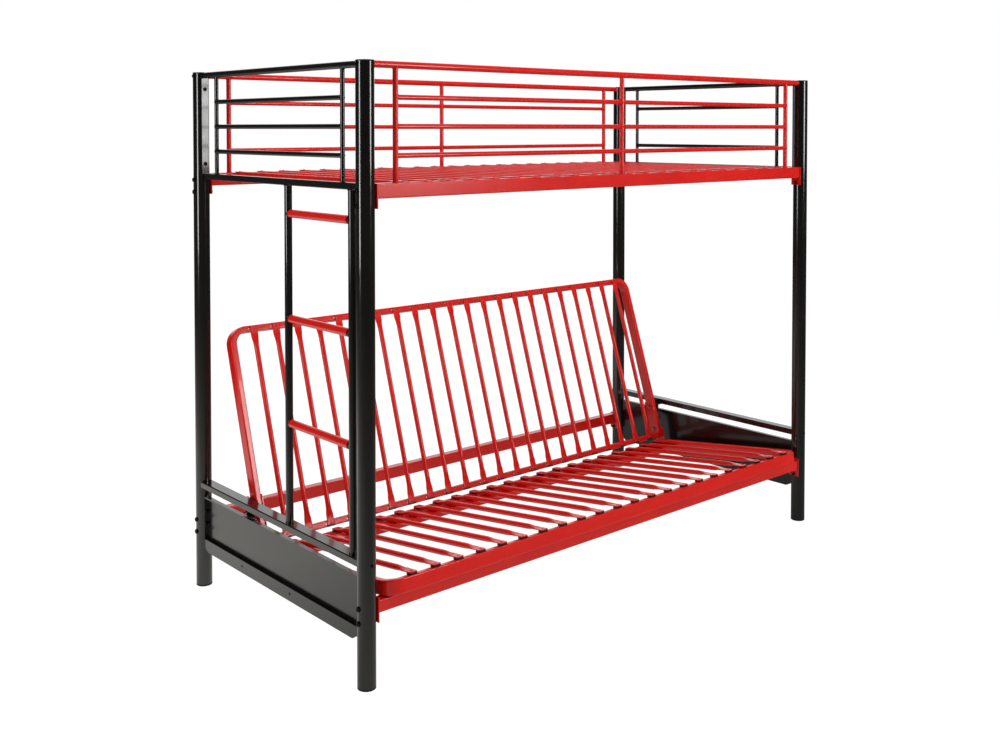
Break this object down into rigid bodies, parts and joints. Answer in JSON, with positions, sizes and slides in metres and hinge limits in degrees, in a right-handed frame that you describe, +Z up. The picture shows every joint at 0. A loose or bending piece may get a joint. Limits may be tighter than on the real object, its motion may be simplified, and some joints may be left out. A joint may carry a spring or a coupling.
{
  "type": "loft bed with folding bench",
  "caption": "Tubular steel loft bed with guards and an end ladder, over a slatted bench whose leaning back folds down level with the seat.",
  "frame": {"origin": "on the floor under the middle of the whole bed's bounding box", "axes": "+X along the bed to the end without the ladder, +Y from the open front to the back, +Z up"},
  "size_m": [2.01, 0.9774, 1.64],
  "materials": {
    "red_steel": "glossy red powder coat",
    "black_steel": "glossy black powder coat",
    "black_plastic": "moulded satin black",
    "zinc_steel": "dull zinc plating",
    "spring_steel": "oiled black spring wire"
  },
  "bodies": {
    "frame": {"front_left_post": "black_steel", "front_right_post": "black_steel", "rear_left_post": "black_steel", "rear_right_post": "black_steel", "post_caps": "black_plastic", "post_feet": "black_plastic", "left_guard": "black_steel", "right_guard": "black_steel", "front_guard": "red_steel", "rear_guard": "red_steel", "guard_bolts": "black_steel", "guard_screws": "black_steel", "front_deck_rail": "red_steel", "rear_deck_rail": "red_steel", "deck_slats": "red_steel", "deck_bolts": "black_steel", "deck_nuts": "black_steel", "front_beam": "red_steel", "rear_beam": "red_steel", "beam_bolts": "black_steel", "beam_nuts": "black_steel", "left_end_rail": "black_steel", "right_end_rail": "black_steel", "end_rail_screws": "black_steel", "left_end_panel": "black_steel", "right_end_panel": "black_steel", "panel_screws": "black_steel", "ladder_front_stile": "black_steel", "ladder_rear_stile": "black_steel", "top_rung": "black_steel", "middle_rung": "black_steel", "bottom_rung": "black_steel", "rung_sleeves": "red_steel", "left_hinge_arm": "black_steel", "right_hinge_arm": "black_steel", "hinge_bolts": "zinc_steel", "hinge_nuts": "zinc_steel", "arm_spring_studs": "zinc_steel", "left_spring": "spring_steel", "right_spring": "spring_steel"},
    "seat": {"seat_front_tube": "red_steel", "seat_left_tube": "red_steel", "seat_right_tube": "red_steel", "seat_rear_rail": "red_steel", "seat_slats": "red_steel", "seat_slat_clips": "black_plastic", "seat_left_link": "red_steel", "seat_right_link": "red_steel"},
    "backrest": {"back_top_tube": "red_steel", "back_left_tube": "red_steel", "back_right_tube": "red_steel", "back_bottom_tube": "red_steel", "back_slats": "red_steel", "back_slat_clips": "black_plastic", "back_left_bracket": "red_steel", "back_right_bracket": "red_steel", "back_link_pins": "zinc_steel", "back_slat_screws": "zinc_steel", "back_spring_studs": "zinc_steel"}
  },
  "joints": [
    {"name": "backrest_fold", "type": "hinge", "parent": "frame", "child": "backrest", "pos_m": [0, 0.22351, 0.3109], "axis": [-1, 0, 0], "range_deg": [0, 70], "deforming": ["left_spring", "right_spring"]},
    {"name": "seat_slide", "type": "hinge", "parent": "frame", "child": "seat", "pos_m": [0, -0.48479, -0.225], "axis": [1, 0, 0], "range_deg": [0, 7.4]}
  ],
  "couplings": [
    {"joint": "seat_slide", "follows": "backrest_fold", "ratio": 0.10571}
  ]
}
